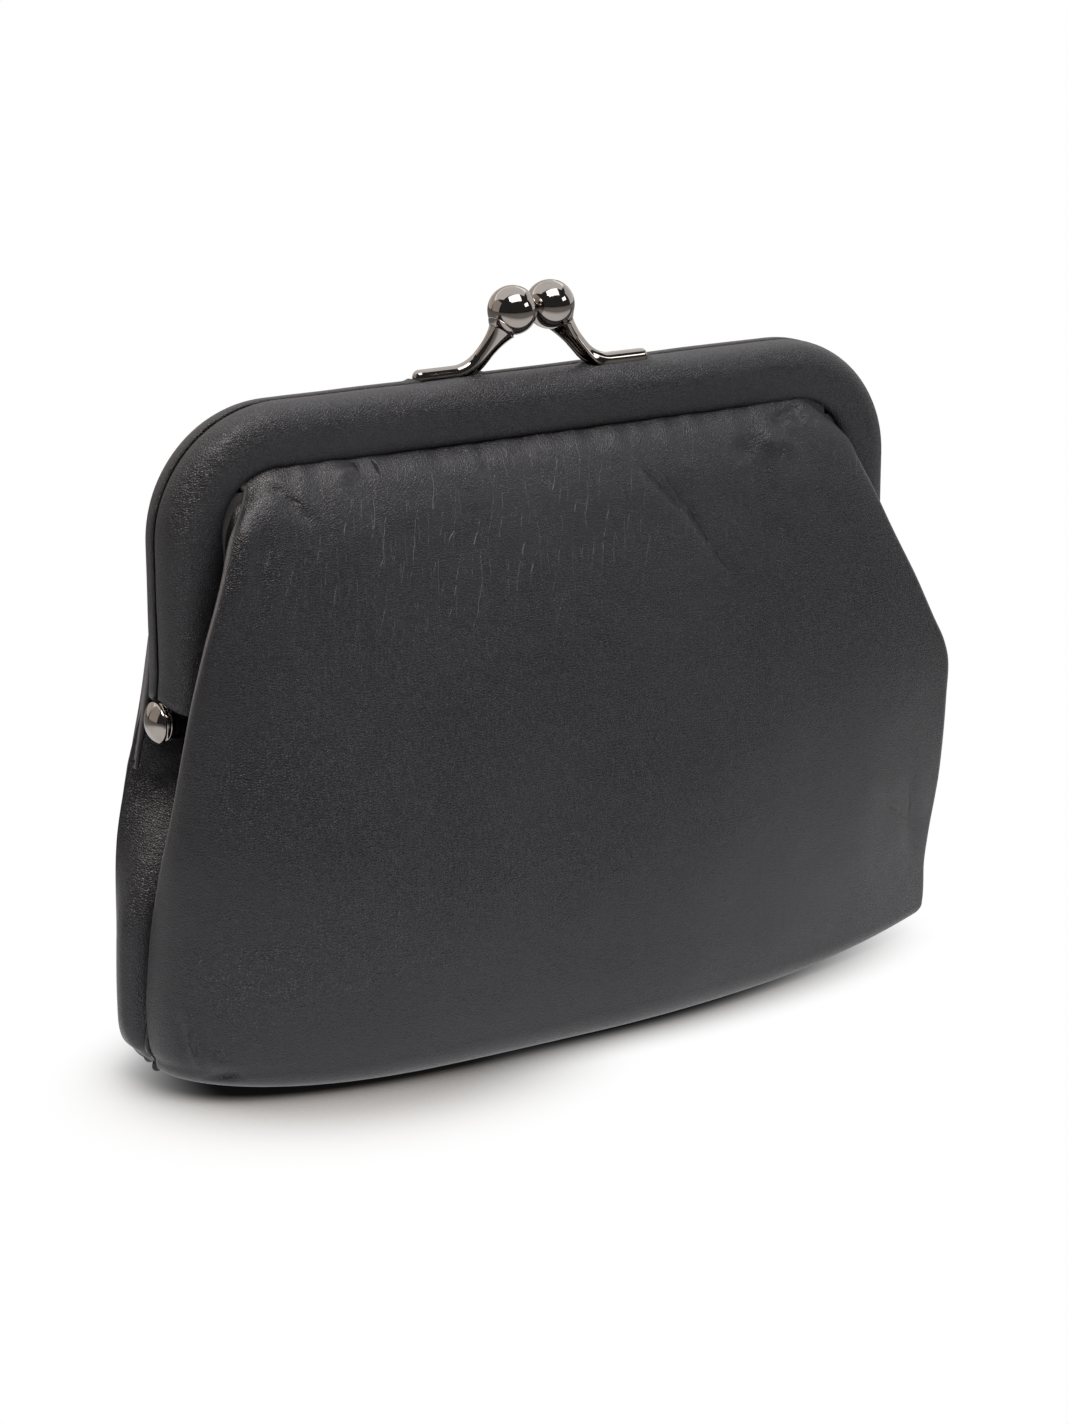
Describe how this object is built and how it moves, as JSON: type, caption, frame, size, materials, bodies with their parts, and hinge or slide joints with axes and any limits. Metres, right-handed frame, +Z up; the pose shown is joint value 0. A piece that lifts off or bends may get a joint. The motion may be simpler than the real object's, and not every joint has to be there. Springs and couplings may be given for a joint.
{
  "type": "kiss lock frame purse",
  "caption": "Small soft leather purse on a hinged, leather covered metal frame that snaps shut with two crossing ball clasps.",
  "frame": {"origin": "middle of the base, on the table, midway between the front and back panels", "axes": "+X across the purse from the left hinge to the right, -Y out of the front panel, +Z up to the ball clasps"},
  "size_m": [0.1527, 0.0496, 0.1209],
  "materials": {
    "pouch_leather": "matte",
    "cover_leather": "matte",
    "lining_cloth": "matte",
    "rail_steel": "satin",
    "core_steel": "satin",
    "black_nickel": "polished",
    "paper_cord": "matte"
  },
  "bodies": {
    "bag": {"front_panel": "pouch_leather", "back_panel": "pouch_leather", "left_gusset": "pouch_leather", "right_gusset": "pouch_leather", "front_lining": "lining_cloth", "back_lining": "lining_cloth", "left_gusset_lining": "lining_cloth", "right_gusset_lining": "lining_cloth"},
    "front_frame": {"front_rail": "rail_steel", "front_cover_core": "core_steel", "front_cover_leather": "cover_leather", "front_channel_cord": "paper_cord", "front_clasp_arm": "black_nickel", "front_clasp_ball": "black_nickel"},
    "back_frame": {"back_rail": "rail_steel", "back_cover_core": "core_steel", "back_cover_leather": "cover_leather", "back_channel_cord": "paper_cord", "back_clasp_arm": "black_nickel", "back_clasp_ball": "black_nickel", "left_rivet": "black_nickel", "right_rivet": "black_nickel"}
  },
  "joints": [
    {"name": "front_frame_hinge", "type": "hinge", "parent": "bag", "child": "front_frame", "pos_m": [0, 0, 0.0583], "axis": [1, 0, 0], "range_deg": [0, 45], "deforming": ["front_panel", "front_lining", "left_gusset", "right_gusset", "left_gusset_lining", "right_gusset_lining"]},
    {"name": "back_frame_hinge", "type": "hinge", "parent": "bag", "child": "back_frame", "pos_m": [0, 0, 0.0583], "axis": [-1, 0, 0], "range_deg": [0, 45], "deforming": ["back_panel", "back_lining"]}
  ]
}
